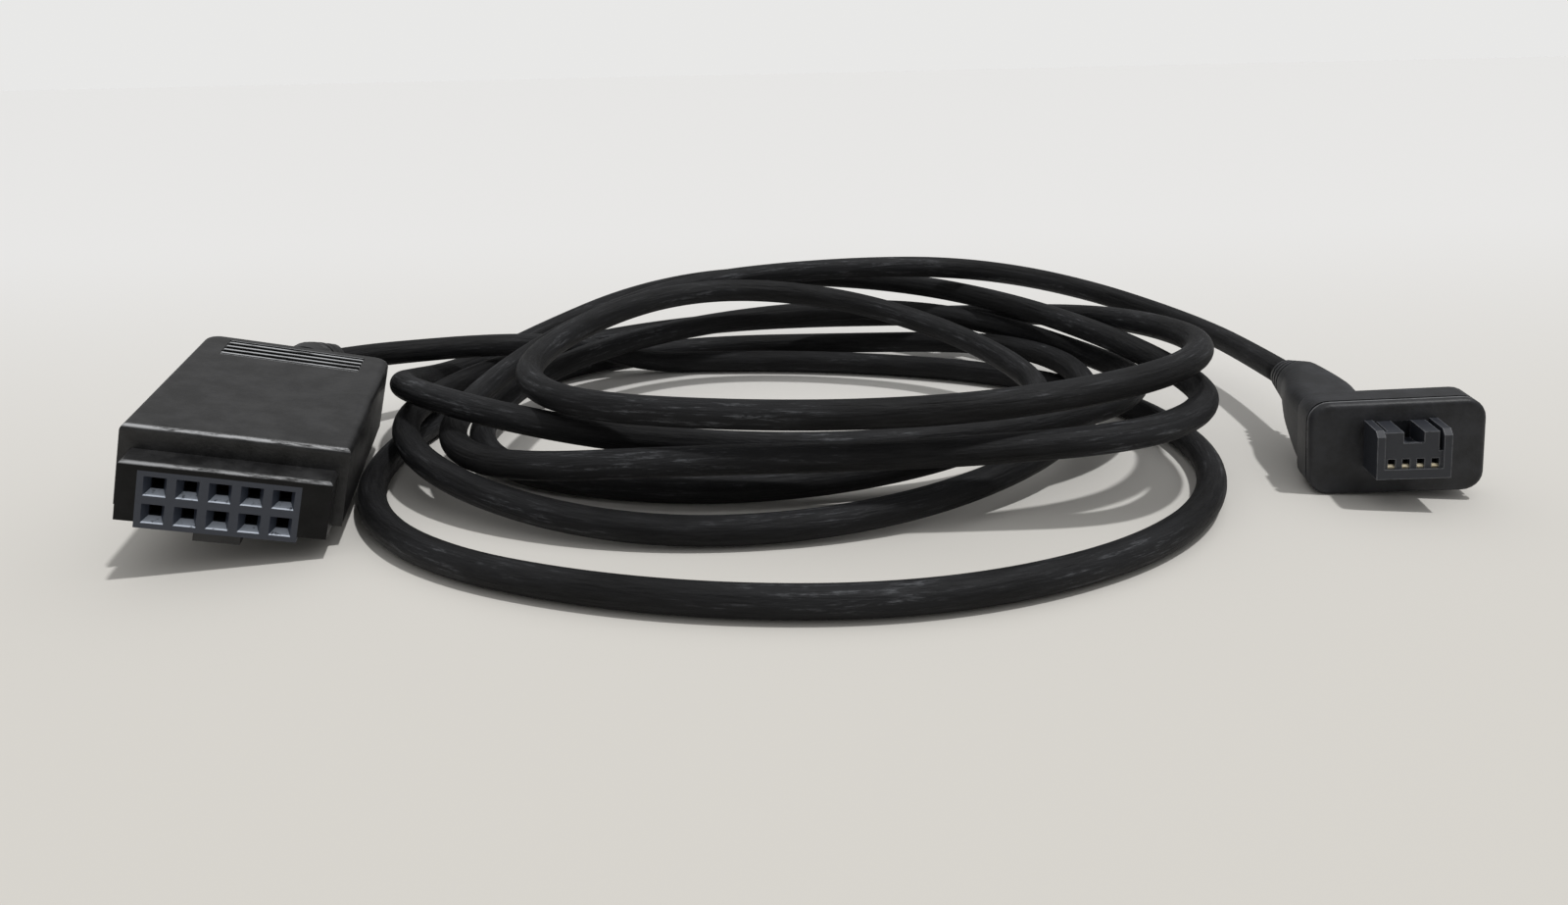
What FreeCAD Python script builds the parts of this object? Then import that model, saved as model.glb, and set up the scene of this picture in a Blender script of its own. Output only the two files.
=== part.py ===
import FreeCAD, Part
import math
import os

# Data cable of a measuring instrument: a ten way socket in a black hood at one end, a small
# four way moulded plug at the other, and about a metre and a half of thin cable left in a loose
# six turn coil between them.  Millimetres, +Z up.  The origin is on the table below the middle
# of the two plugs, +X runs from the hood to the moulded plug and +Y leads away from the viewer.

os.makedirs("parts", exist_ok=True)

# driving sizes
CABLE_D = 2.8            # outer diameter of the cable
PITCH = 2.54             # contact pitch of the ten way socket
COLUMNS = 5
ROWS = 2
FINE_PITCH = 1.25        # contact pitch of the four way plug
FINE_WAYS = 4

# how finely round forms are drawn, to keep the facets few
CABLE_SIDES = 8
SLEEVE_SIDES = 24
CORNER_STEPS = 6

# ten way socket: the black or slate block that the contacts sit in
BLOCK_WIDTH = COLUMNS * PITCH + 0.3
BLOCK_HEIGHT = ROWS * PITCH + 0.22
BLOCK_DEPTH = 9.0
HOLE = 1.0               # square pin hole in the mating face
HOLE_MOUTH = 1.8         # square mouth of the tapered lead-in
HOLE_TAPER = 0.8         # depth of the lead-in
FACE_WALL = 1.6          # thickness of the block in front of the contacts
POCKET = 1.9             # square pocket that holds one contact
CONTACT_WALL = 0.35
TAIL = 0.4               # thickness of the flat tail behind each contact
TAIL_LENGTH = 2.4

# hood round the socket
HOOD_WIDTH = 18.7
HOOD_LENGTH = 26.2       # from its shoulder to its rear face
HOOD_WALL = 1.2
NOSE_WIDTH = 17.0
NOSE_LENGTH = 2.6        # the nose stands this far in front of the shoulder
NOSE_TOP = 3.4           # heights below are from the middle of the pin pattern
NOSE_FLOOR = -2.1
NOSE_LIP = 0.3           # worn edge along the nose
HOOD_TOP = 5.6
HOOD_FLOOR = -2.0
HOOD_SPLIT = -0.7        # level of the joint between the two hood halves
HOOD_OFFSET = 0.45       # the hood's middle lies this far right of the pin pattern
HOOD_CORNER = 1.6        # corner radius in plan, at the rear
HOOD_EDGE = 0.7          # rounding along the top edges
GRIP_RIBS = 4
GRIP_LENGTH = 4.4        # length and width of the sunk grip patch
GRIP_WIDTH = 13.6
GRIP_DEPTH = 0.7
GRIP_BACK = 1.5          # patch to the rear edge
KEY_WIDTH = 3.8          # polarising tongue under the block
KEY_THICK = 1.0
KEY_ROOT = 2.5           # length of the foot that carries the tongue, behind the block

# boot where the cable leaves the hood
BOOT_D = 6.2
BOOT_TIP_D = 5.0
BOOT_LENGTH = 2.8
BOOT_OFFSET = 2.2        # sideways from the pin pattern's middle
BOOT_LEVEL = 2.6
BOOT_GROOVE = 0.4

# four way moulded plug
PLUG_WIDTH = 15.6
PLUG_HEIGHT = 9.2
PLUG_DEPTH = 4.4
PLUG_CORNER = 1.9
PLUG_EDGE = 0.5
SEAM_BACK = 1.0          # moulding seam behind the front face
SEAM = 0.3
FINE_NOSE_WIDTH = 6.4
FINE_NOSE_OFFSET = 0.2   # the nose stands this far right of the face's middle
FINE_NOSE_TOP = 2.95     # above the middle of the plug's face
FINE_NOSE_FLOOR = -1.7
FINE_NOSE_LENGTH = 3.4   # in front of the face
FINE_NOSE_ROOT = 3.0     # and behind it
SHROUD_WALL = 0.7
SHROUD_FLOOR = 0.95      # thickness of the shroud's floor
BLOCK_DROP = 0.15        # the inner block stands this far below the shroud's top
BLOCK_SET = 0.2          # and this far behind its front
SHROUD_CHAMFER = 0.5
SLOT = 0.35              # slot between the shroud's sides and the inner block
SLOT_DEPTH = 1.9
SLOT_STOP = 0.5          # the left slot stops this far behind the front
NOTCH_WIDTH = 1.75
NOTCH_DEPTH = 1.05
NOTCH_FLOOR = 1.7        # the keyway is deeper behind its thin front lip
NOTCH_LIP = 0.3
WINDOW_WIDTH = 0.65
WINDOW_HEIGHT = 0.95
WINDOW_END = 0.5         # the windows stop this far before the block's rear
FINE_CONTACT = 0.35
CONTACT_SET = 0.15       # the contacts end this far behind the block's front
ARM_WIDTH = 5.2          # arm that leads from the block's left part back to the neck
ARM_WAIST = 5.0          # its width and height halfway
ARM_HEIGHT = 6.0
ARM_LEVEL = 1.3          # height of its middle there, above the middle of the face
ARM_HALFWAY = 9.5        # behind the face
NECK_D = 4.8             # grooved neck that the cable comes out of, at its root and tip
NECK_TIP_D = 3.5
NECK_LENGTH = 4.0
NECK_GROOVES = 3
NECK_GROOVE = 0.3
NECK_GROOVE_STEP = 1.1
NECK_GROOVE_WIDTH = 0.4

# where the plugs lie: middle of each mating face, and turns about Z, X and Y in degrees
HOOD_AT = (-50.5, -14.9, 6.0)
HOOD_TURN = (11.6, 2.5, 13.5)
PLUG_AT = (56.5, -5.0)
PLUG_TURN = (-8.4, 0.0, -4.3)

# The six turns of the coil from the bottom up the way the cable runs: right, front, left and
# rear point of each, the height last.  A fourth number is the cable's climb at that point.
TURNS = (
    ((41.9, 6.5, 1.5), (2.5, -25.5, 1.5), (-44.0, 7.0, 1.5), (-7.5, 49.5, 1.5)),
    ((33.5, 21.0, 4.9), (-7.5, -12.5, 1.5), (-42.8, 14.5, 4.78, 0.015), (2.5, 56.0, 3.6)),
    ((42.0, 10.0, 12.3, 0.1), (4.5, -10.5, 11.9), (-28.8, 10.0, 11.2, 0.0), (-4.0, 37.0, 12.3, -0.08)),
    ((27.0, 15.5, 5.5), (-7.5, -3.0, 1.5), (-36.0, 16.0, 2.5, 0.08), (9.0, 46.5, 7.12)),
    ((38.8, 20.0, 5.15, 0.1), (-9.5, -5.5, 7.65), (-45.9, 22.5, 5.7, -0.38), (-5.5, 57.0, 10.05)),
    ((40.6, 3.5, 9.0, 0.03), (2.5, -9.5, 7.5), (-36.5, 8.0, 6.27, 0.08), (-3.0, 41.9, 13.5)),
)
COIL_START = (-11.5, 41.5, 1.5)
HEADINGS = ((0, -1, 0), (-1, 0, 0), (0, 1, 0), (1, 0, 0))

# free stretches: from the boot down to the coil, and from the coil to the moulded plug's neck
HOOD_STRETCH = ((-53.4, 26.7, 9.2), (-49.3, 30.2, 8.5), (-42.4, 31.3, 8.2), (-36.0, 32.2, 8.0),
                (-31.2, 36.8, 6.3), (-26.5, 40.8, 3.9), (-19.5, 41.5, 1.5))
PLUG_STRETCH = ((9.0, 42.8, 13.9), (20.5, 44.5, 13.4), (32.0, 48.0, 11.2), (42.5, 49.0, 8.4),
                (49.5, 43.5, 6.7), (53.5, 34.0, 6.1), (54.5, 23.5, 6.2))
BOOT_RUN = 5.2           # first run, straight out of the boot
NECK_TIP = (54.1, 13.2, 6.7)

V = FreeCAD.Vector


# helpers
def box(x0, x1, y0, y1, z0, z1):
    return Part.makeBox(x1 - x0, y1 - y0, z1 - z0, V(x0, y0, z0))


def rounded_wire(width, height, radius, y, x_mid=0.0, z_mid=0.0):
    """A rounded rectangle that faces along Y; each corner is a few short straight edges."""
    half_w = width / 2 - radius
    half_h = height / 2 - radius
    points = []
    for side, level, start in ((1, 1, 0), (-1, 1, 1), (-1, -1, 2), (1, -1, 3)):
        for step in range(CORNER_STEPS + 1):
            angle = (start + step / CORNER_STEPS) * math.pi / 2
            points.append(V(x_mid + side * half_w + radius * math.cos(angle), y,
                            z_mid + level * half_h + radius * math.sin(angle)))
    return Part.makePolygon(points + points[:1])


def bar_along_y(width, height, radius, y0, y1, x_mid=0.0, z_mid=0.0):
    face = Part.Face(rounded_wire(width, height, radius, y0, x_mid, z_mid))
    return face.extrude(V(0, y1 - y0, 0))


def ring(centre, way, radius, sides):
    """A regular polygon across a direction, as large in area as the circle it stands for."""
    step = 2 * math.pi / sides
    reach = radius * math.sqrt(2 * math.pi / (sides * math.sin(step)))
    spin = FreeCAD.Placement(centre, FreeCAD.Rotation(V(0, 0, 1), way))
    corners = [spin.multVec(V(reach * math.cos(step * k), reach * math.sin(step * k), 0))
               for k in range(sides)]
    return Part.makePolygon(corners + corners[:1])


def taper(foot, way, radius0, radius1, length):
    """A round tapered sleeve from foot along a direction."""
    return Part.makeLoft([ring(foot, way, radius0, SLEEVE_SIDES),
                          ring(foot + way * length, way, radius1, SLEEVE_SIDES)], True, True)


def groove(foot, way, width, outer, inner):
    """What a turned groove takes away: everything between two radii."""
    return taper(foot, way, outer, outer, width).cut(taper(foot, way, inner, inner, width))


def frame(at, turns):
    """Placement of a plug: turned about Y, then X, then Z, and moved to its place."""
    yaw, pitch, roll = turns
    spin = FreeCAD.Rotation(V(0, 0, 1), yaw)
    spin = spin.multiply(FreeCAD.Rotation(V(1, 0, 0), pitch))
    spin = spin.multiply(FreeCAD.Rotation(V(0, 1, 0), roll))
    return FreeCAD.Placement(V(*at), spin)


def save(name, shape, place=None):
    shape = shape.copy()
    if place is not None:
        shape.Placement = place.multiply(shape.Placement)
    shape = shape.removeSplitter() if len(shape.Solids) == 1 else shape
    if len(shape.Solids) == 1:
        shape = shape.Solids[0]
    else:
        print("WARNING", name, "has", len(shape.Solids), "solids")
    if not shape.isValid():
        print("WARNING", name, "is not valid")
    shape.exportStep("parts/" + name + ".step")
    bounds = shape.BoundBox
    print("%-24s vol %8.2f  x %.1f..%.1f  y %.1f..%.1f  z %.2f..%.2f" % (
        name, shape.Volume, bounds.XMin, bounds.XMax, bounds.YMin, bounds.YMax,
        bounds.ZMin, bounds.ZMax))
    return shape


# ten way socket and its hood
BLOCK_BOTTOM = -BLOCK_HEIGHT / 2
BLOCK_TOP = BLOCK_HEIGHT / 2


def pin_places():
    for row in range(ROWS):
        for column in range(COLUMNS):
            x = (column - (COLUMNS - 1) / 2) * PITCH
            z = (row - (ROWS - 1) / 2) * PITCH
            yield x, z


def square_wire(size, x, y, z):
    half = size / 2
    corners = [V(x - half, y, z - half), V(x + half, y, z - half),
               V(x + half, y, z + half), V(x - half, y, z + half)]
    return Part.makePolygon(corners + corners[:1])


def socket_block():
    block = box(-BLOCK_WIDTH / 2, BLOCK_WIDTH / 2, 0, BLOCK_DEPTH, BLOCK_BOTTOM, BLOCK_TOP)
    cuts = []
    for x, z in pin_places():
        mouth = Part.makeLoft([square_wire(HOLE_MOUTH, x, 0, z), square_wire(HOLE, x, HOLE_TAPER, z)],
                              True, True)
        cuts.append(mouth)
        half = HOLE / 2
        cuts.append(box(x - half, x + half, HOLE_TAPER / 2, FACE_WALL + 0.1, z - half, z + half))
        half = POCKET / 2
        cuts.append(box(x - half, x + half, FACE_WALL, BLOCK_DEPTH + 0.1, z - half, z + half))
    return block.cut(Part.makeCompound(cuts))


def contact(x, z):
    """A box contact: a square sleeve that grips the pin, closed behind by its crimp tail."""
    half = POCKET / 2
    sleeve = box(x - half, x + half, FACE_WALL, BLOCK_DEPTH, z - half, z + half)
    bore = half - CONTACT_WALL
    sleeve = sleeve.cut(box(x - bore, x + bore, FACE_WALL - 0.1, BLOCK_DEPTH - 1.0,
                            z - bore, z + bore))
    side = math.copysign(1, z)
    inner = z - side * half
    outer = inner + side * TAIL
    tail = box(x - half / 2, x + half / 2, BLOCK_DEPTH - 0.5, BLOCK_DEPTH + TAIL_LENGTH,
               min(inner, outer), max(inner, outer))
    return sleeve.fuse(tail)


def hood_body():
    """Outer form of the closed hood: a rounded slab, and in front of it the lower, narrower nose."""
    rear = NOSE_LENGTH + HOOD_LENGTH
    slab = box(HOOD_OFFSET - HOOD_WIDTH / 2, HOOD_OFFSET + HOOD_WIDTH / 2, NOSE_LENGTH, rear,
               HOOD_FLOOR, HOOD_TOP)
    upright = []
    for edge in slab.Edges:
        ends = edge.BoundBox
        if ends.ZLength > HOOD_WALL and ends.YMin > rear - 0.1:
            upright.append(edge)
    slab = slab.makeFillet(HOOD_CORNER, upright)
    rim = []
    for edge in slab.Edges:
        ends = edge.BoundBox
        if ends.ZMin > HOOD_TOP - 0.01:
            rim.append(edge)
    slab = slab.makeFillet(HOOD_EDGE, rim)
    nose = box(HOOD_OFFSET - NOSE_WIDTH / 2, HOOD_OFFSET + NOSE_WIDTH / 2, 0, NOSE_LENGTH + 1.0,
               NOSE_FLOOR, NOSE_TOP)
    lip = []
    for edge in nose.Edges:
        ends = edge.BoundBox
        if ends.ZMin > NOSE_TOP - 0.01 and ends.YMax < 0.01:
            lip.append(edge)
        if ends.YLength > 1.0 and ends.ZMin > NOSE_TOP - 0.01:
            lip.append(edge)
    nose = nose.makeChamfer(NOSE_LIP, lip)
    return slab.fuse(nose)


def hood_hollow():
    """Room inside the hood for the block, the contact tails and the wires."""
    rear = NOSE_LENGTH + HOOD_LENGTH - HOOD_WALL
    half = HOOD_WIDTH / 2 - HOOD_WALL
    seat = box(-BLOCK_WIDTH / 2, BLOCK_WIDTH / 2, -0.1, BLOCK_DEPTH, BLOCK_BOTTOM, BLOCK_TOP)
    room = box(HOOD_OFFSET - half, HOOD_OFFSET + half, BLOCK_DEPTH, rear,
               HOOD_FLOOR + HOOD_WALL, HOOD_TOP - HOOD_WALL - GRIP_DEPTH)
    return seat, room


def grip_patch():
    """The sunk patch on top of the hood, and the ribs that stand in it."""
    rear = NOSE_LENGTH + HOOD_LENGTH - GRIP_BACK
    front = rear - GRIP_LENGTH
    half = GRIP_WIDTH / 2
    patch = box(HOOD_OFFSET - half, HOOD_OFFSET + half, front, rear, HOOD_TOP - GRIP_DEPTH,
                HOOD_TOP + 0.1)
    step = GRIP_LENGTH / GRIP_RIBS
    radius = step * 0.3
    ribs = []
    for number in range(GRIP_RIBS):
        y = front + (number + 0.5) * step
        base = box(HOOD_OFFSET - half, HOOD_OFFSET + half, y - radius, y + radius,
                   HOOD_TOP - GRIP_DEPTH - 0.1, HOOD_TOP - radius)
        crest = Part.makeCylinder(radius, GRIP_WIDTH, V(HOOD_OFFSET - half, y, HOOD_TOP - radius),
                                  V(1, 0, 0))
        ribs.append(base.fuse(crest))
    return patch, ribs


def boot():
    """Short tapered sleeve on the hood's rear wall, with two turned grooves."""
    rear = NOSE_LENGTH + HOOD_LENGTH
    foot = V(BOOT_OFFSET, rear, BOOT_LEVEL)
    back = V(0, 1, 0)
    sleeve = taper(foot, back, BOOT_D / 2, BOOT_TIP_D / 2, BOOT_LENGTH)
    for share in (0.4, 0.7):
        sleeve = sleeve.cut(groove(foot + back * (BOOT_LENGTH * share), back, BOOT_GROOVE,
                                   BOOT_D, BOOT_TIP_D / 2 - BOOT_GROOVE / 4))
    return sleeve


def hood_halves():
    body = hood_body()
    seat, room = hood_hollow()
    patch, ribs = grip_patch()
    shell = body.cut(seat).cut(room).cut(patch)
    shell = shell.fuse(ribs)
    far = 60.0
    above = box(-far, far, -far, far, HOOD_SPLIT, far)
    below = box(-far, far, -far, far, -far, HOOD_SPLIT)
    upper = shell.common(above)
    lower = shell.common(below)
    half = KEY_WIDTH / 2
    tongue = box(-half, half, 0.5, BLOCK_DEPTH + KEY_ROOT, BLOCK_BOTTOM - KEY_THICK, BLOCK_BOTTOM)
    root = box(-half, half, BLOCK_DEPTH, BLOCK_DEPTH + KEY_ROOT, BLOCK_BOTTOM - KEY_THICK,
               HOOD_FLOOR + HOOD_WALL)
    lower = lower.fuse([tongue, root])
    return upper, lower


# four way moulded plug
def plug_place():
    """The plug rests on the table on its lower rounded corner, so its height follows its turn."""
    roll = math.radians(abs(PLUG_TURN[2]))
    reach = ((PLUG_WIDTH / 2 - PLUG_CORNER) * math.sin(roll)
             + (PLUG_HEIGHT / 2 - PLUG_CORNER) * math.cos(roll) + PLUG_CORNER)
    return frame((PLUG_AT[0], PLUG_AT[1], reach), PLUG_TURN)


def neck_line(place):
    """Tip of the neck and the way it points, in the plug's own axes."""
    back = place.inverse()
    tip = back.multVec(V(*NECK_TIP))
    before = back.multVec(V(*PLUG_STRETCH[-1]))
    way = (before - tip).normalize()
    return tip, way


def plug_body(place):
    """Moulded block with round corners, drawn out at its rear left into the ribbed neck."""
    rims = []
    for share, inset in ((0, 1), (0.3, 0.3), (1, 0)):
        rims.append((PLUG_EDGE * share, PLUG_EDGE * inset))
    rims += [(PLUG_DEPTH - back, inset) for back, inset in reversed(rims)]
    block = Part.makeLoft([rounded_wire(PLUG_WIDTH - 2 * inset, PLUG_HEIGHT - 2 * inset,
                                        PLUG_CORNER - inset, back) for back, inset in rims],
                          True, True)
    far = 40.0
    seam = box(-far, far, SEAM_BACK, SEAM_BACK + SEAM, -far, far)
    core = bar_along_y(PLUG_WIDTH - 2 * SEAM, PLUG_HEIGHT - 2 * SEAM, PLUG_CORNER - SEAM,
                       SEAM_BACK, SEAM_BACK + SEAM)
    block = block.cut(seam.cut(core))

    tip, way = neck_line(place)
    root = tip - way * NECK_LENGTH
    left = -PLUG_WIDTH / 2 + PLUG_EDGE / 2
    inset = 2 * PLUG_EDGE
    sections = [
        rounded_wire(ARM_WIDTH, PLUG_HEIGHT - inset, PLUG_CORNER, PLUG_DEPTH - PLUG_EDGE,
                     left + ARM_WIDTH / 2),
        rounded_wire(ARM_WAIST, ARM_HEIGHT, PLUG_CORNER, ARM_HALFWAY, left + ARM_WAIST / 2,
                     ARM_LEVEL),
        rounded_wire(NECK_D, NECK_D, PLUG_CORNER, root.y, root.x, root.z)]
    arm = Part.makeLoft(sections, True, True)
    bury = way * (NECK_LENGTH / 2)
    slope = (NECK_D - NECK_TIP_D) / 2 / NECK_LENGTH
    neck = taper(root - bury, way, NECK_D / 2 + slope * bury.Length, NECK_TIP_D / 2,
                 NECK_LENGTH + bury.Length)
    body = block.fuse([arm, neck])
    for number in range(NECK_GROOVES):
        back = (number + 0.8) * NECK_GROOVE_STEP
        body = body.cut(groove(tip - way * back, way, NECK_GROOVE_WIDTH, NECK_D,
                               NECK_TIP_D / 2 + slope * back - NECK_GROOVE))
    half = FINE_NOSE_WIDTH / 2
    pocket = box(FINE_NOSE_OFFSET - half, FINE_NOSE_OFFSET + half, -1.0, FINE_NOSE_ROOT,
                 FINE_NOSE_FLOOR, FINE_NOSE_TOP)
    return body.cut(pocket)


def nose_shroud():
    """Trough shaped shroud of the nose: two side walls and a floor, open on top."""
    left = FINE_NOSE_OFFSET - FINE_NOSE_WIDTH / 2
    right = FINE_NOSE_OFFSET + FINE_NOSE_WIDTH / 2
    shroud = box(left, right, -FINE_NOSE_LENGTH, FINE_NOSE_ROOT, FINE_NOSE_FLOOR, FINE_NOSE_TOP)
    corners = []
    for edge in shroud.Edges:
        ends = edge.BoundBox
        if ends.XLength > 1 and ends.YMax < 0 and ends.ZMin > FINE_NOSE_TOP - 0.01:
            corners.append(edge)
    shroud = shroud.makeChamfer(SHROUD_CHAMFER, corners)
    inside = box(left + SHROUD_WALL, right - SHROUD_WALL, -FINE_NOSE_LENGTH - 0.1,
                 FINE_NOSE_ROOT + 0.1, FINE_NOSE_FLOOR + SHROUD_FLOOR, FINE_NOSE_TOP + 0.1)
    return shroud.cut(inside)


def fine_places():
    for number in range(FINE_WAYS):
        yield FINE_NOSE_OFFSET + (number - (FINE_WAYS - 1) / 2) * FINE_PITCH


def nose_block():
    """Inner block of the nose, with its keyway on top and four windows on the shroud's floor."""
    left = FINE_NOSE_OFFSET - FINE_NOSE_WIDTH / 2 + SHROUD_WALL
    right = FINE_NOSE_OFFSET + FINE_NOSE_WIDTH / 2 - SHROUD_WALL
    front = -FINE_NOSE_LENGTH + BLOCK_SET
    floor = FINE_NOSE_FLOOR + SHROUD_FLOOR
    top = FINE_NOSE_TOP - BLOCK_DROP
    block = box(left, right, front, FINE_NOSE_ROOT, floor, top)
    cuts = [box(left - 0.1, left + SLOT, front + SLOT_STOP, 0, top - SLOT_DEPTH, top + 0.1),
            box(right - SLOT, right + 0.1, front - 0.1, 0, top - SLOT_DEPTH, top + 0.1)]
    notch = NOTCH_WIDTH / 2
    lip = front + NOTCH_LIP
    cuts.append(box(FINE_NOSE_OFFSET - notch, FINE_NOSE_OFFSET + notch, front - 0.1, lip,
                    top - NOTCH_DEPTH, top + 0.1))
    cuts.append(box(FINE_NOSE_OFFSET - notch, FINE_NOSE_OFFSET + notch, lip, 0,
                    top - NOTCH_FLOOR, top + 0.1))
    for x in fine_places():
        wide = WINDOW_WIDTH / 2
        cuts.append(box(x - wide, x + wide, front - 0.1, FINE_NOSE_ROOT - WINDOW_END, floor - 0.1,
                        floor + WINDOW_HEIGHT))
    return block.cut(Part.makeCompound(cuts))


def fine_contact(x):
    """A flat contact on the floor of its window, with a sloped front end."""
    half = WINDOW_WIDTH / 2
    floor = FINE_NOSE_FLOOR + SHROUD_FLOOR
    front = -FINE_NOSE_LENGTH + BLOCK_SET + CONTACT_SET
    rear = FINE_NOSE_ROOT - WINDOW_END
    outline = [V(x - half, front, floor), V(x - half, rear, floor),
               V(x - half, rear, floor + FINE_CONTACT),
               V(x - half, front + FINE_CONTACT / 2, floor + FINE_CONTACT),
               V(x - half, front, floor + FINE_CONTACT / 2)]
    side = Part.Face(Part.makePolygon(outline + outline[:1]))
    return side.extrude(V(WINDOW_WIDTH, 0, 0))


# cable
def cable_path(points):
    """Straight runs joined by tangent arcs, each as large as its two runs allow."""
    edges = []
    radii = []
    start = points[0]
    for before, corner, after in zip(points, points[1:], points[2:]):
        into = (corner - before).normalize()
        out = (after - corner).normalize()
        turn = math.acos(max(-1.0, min(1.0, into.dot(out))))
        shorter = min((corner - before).Length, (after - corner).Length)
        cut = 0.45 * shorter
        radius = cut / math.tan(turn / 2)
        radii.append(radius)
        first = corner - into * cut
        last = corner + out * cut
        bisector = (out - into).normalize()
        middle = corner + bisector * (radius * (1 / math.cos(turn / 2) - 1))
        edges.append(Part.LineSegment(start, first).toShape())
        edges.append(Part.Arc(first, middle, last).toShape())
        start = last
    edges.append(Part.LineSegment(start, points[-1]).toShape())
    return Part.Wire(edges), radii


def tube(path, start, way):
    return path.makePipeShell([ring(start, way, CABLE_D / 2, CABLE_SIDES)], True, False)


def free_stretch(name, points):
    path, radii = cable_path(points)
    solid = tube(path, points[0], points[1] - points[0])
    want = math.pi * CABLE_D ** 2 / 4 * path.Length
    near, spot = min((p.distanceToPoint(q), tuple(round(c, 1) for c in p))
                     for p in path.discretize(60)[6:-6] for q in samples)
    print("%s length %.1f  radii %s  volume %.1f of %.1f  clear of the coil by %.2f at %s" % (
        name, path.Length, ", ".join("%.1f" % r for r in radii), solid.Volume, want,
        near - CABLE_D, spot))
    save(name, solid)
    return path.Length


def arc_from(start, way, end):
    """A circular arc that leaves start along way and ends at end, with its radius."""
    chord = end - start
    across = chord - way * chord.dot(way)
    across.normalize()
    radius = chord.Length ** 2 / (2 * chord.dot(across))
    swing = 2 * math.atan2(chord.dot(across), chord.dot(way))
    centre = start + across * radius
    half = centre - across * (radius * math.cos(swing / 2)) + way * (radius * math.sin(swing / 2))
    return Part.Arc(start, half, end), radius


def biarc(start, way0, end, way1):
    """Two tangent arcs between two points with given headings, alike in reach."""
    gap = end - start
    both = way0 + way1
    spread = 2 * (1 - way0.dot(way1))
    along = gap.dot(both)
    reach = (-along + math.sqrt(along ** 2 + spread * gap.dot(gap))) / spread
    joint = (start + end + (way0 - way1) * reach) * 0.5
    first, radius0 = arc_from(start, way0, joint)
    second, radius1 = arc_from(end, way1 * -1, joint)
    return first, second, radius0, radius1, joint


def coil_stations():
    """Points that the coil passes, each with its heading."""
    stations = [(V(*COIL_START), V(1, 0, 0))]
    for turn in TURNS:
        for place, heading in zip(turn, HEADINGS):
            way = V(*heading)
            if len(place) == 4:
                way.z = place[3]
            stations.append((V(*place[:3]), way.normalize()))
    end = stations[-1][0]
    stations[-1] = (end, (V(*PLUG_STRETCH[0]) - end).normalize())
    return stations


def coil_path():
    """The whole coil as one wire of quarter turn biarcs with a straight start and end."""
    stations = coil_stations()
    lead = CABLE_D
    edges = [Part.LineSegment(stations[0][0] - stations[0][1] * lead, stations[0][0]).toShape()]
    tightest = 1e9
    samples = []
    for (start, way0), (end, way1) in zip(stations, stations[1:]):
        first, second, radius0, radius1, joint = biarc(start, way0, end, way1)
        tightest = min(tightest, abs(radius0), abs(radius1))
        back = Part.Arc(joint, second.value((second.FirstParameter + second.LastParameter) / 2), end)
        edges.append(first.toShape())
        edges.append(back.toShape())
    last, way = stations[-1]
    edges.append(Part.LineSegment(last, last + way * lead).toShape())
    path = Part.Wire(edges)
    for edge in edges:
        count = max(3, int(edge.Length / 1.0))
        samples += edge.discretize(count)[:-1]
    return path, tightest, samples, last + way * lead


def least_gap(samples):
    """Least distance between two stretches of the coil that aren't neighbours, less the cable."""
    run = [0.0]
    for a, b in zip(samples, samples[1:]):
        run.append(run[-1] + a.distanceToPoint(b))
    least = 1e9
    where = None
    places = [(p.x, p.y, p.z) for p in samples]
    for i, a in enumerate(places):
        for j in range(i + 1, len(places)):
            if run[j] - run[i] < 5 * CABLE_D:
                continue
            b = places[j]
            if abs(a[0] - b[0]) > 6 or abs(a[1] - b[1]) > 6:
                continue
            far = math.dist(a, b)
            if far < least:
                least = far
                where = a, b
    return least - CABLE_D, where


# build
hood_place = frame(HOOD_AT, HOOD_TURN)
upper, lower = hood_halves()
save("host_hood_upper", upper, hood_place)
save("host_hood_lower", lower, hood_place)
save("host_socket_block", socket_block(), hood_place)
for number, (x, z) in enumerate(pin_places(), 1):
    save("host_contact_%02d" % number, contact(x, z), hood_place)
save("host_cable_boot", boot(), hood_place)

fine_place = plug_place()
save("gauge_plug_body", plug_body(fine_place), fine_place)
save("gauge_nose_shroud", nose_shroud(), fine_place)
save("gauge_nose_block", nose_block(), fine_place)
for number, x in enumerate(fine_places(), 1):
    save("gauge_contact_%d" % number, fine_contact(x), fine_place)

boot_end = V(BOOT_OFFSET, NOSE_LENGTH + HOOD_LENGTH + BOOT_LENGTH, BOOT_LEVEL)
exit_point = hood_place.multVec(boot_end)
exit_corner = hood_place.multVec(boot_end + V(0, BOOT_RUN, 0))
coil_first = V(*COIL_START) - V(CABLE_D, 0, 0)
path, tightest, samples, coil_last = coil_path()
gap, where = least_gap(samples)
coil = tube(path, coil_first, V(1, 0, 0))
save("cable_coil", coil)
print("coil length %.1f  tightest radius %.1f  least gap to itself %.2f at %s" % (
    path.Length, tightest, gap, [tuple(round(c, 1) for c in p) for p in where]))
print("coil volume %.1f of %.1f" % (coil.Volume, math.pi * CABLE_D ** 2 / 4 * path.Length))
total = path.Length

lead_points = [exit_point, exit_corner] + [V(*p) for p in HOOD_STRETCH] + [coil_first]
print("boot exit %.2f %.2f %.2f corner %.2f %.2f %.2f" % (*exit_point, *exit_corner))
total += free_stretch("cable_hood_stretch", lead_points)

tail_points = [coil_last] + [V(*p) for p in PLUG_STRETCH] + [V(*NECK_TIP)]
total += free_stretch("cable_plug_stretch", tail_points)
print("cable length in all %.0f mm" % total)
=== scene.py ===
import math

import bpy
from mathutils import Matrix, Vector


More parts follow.
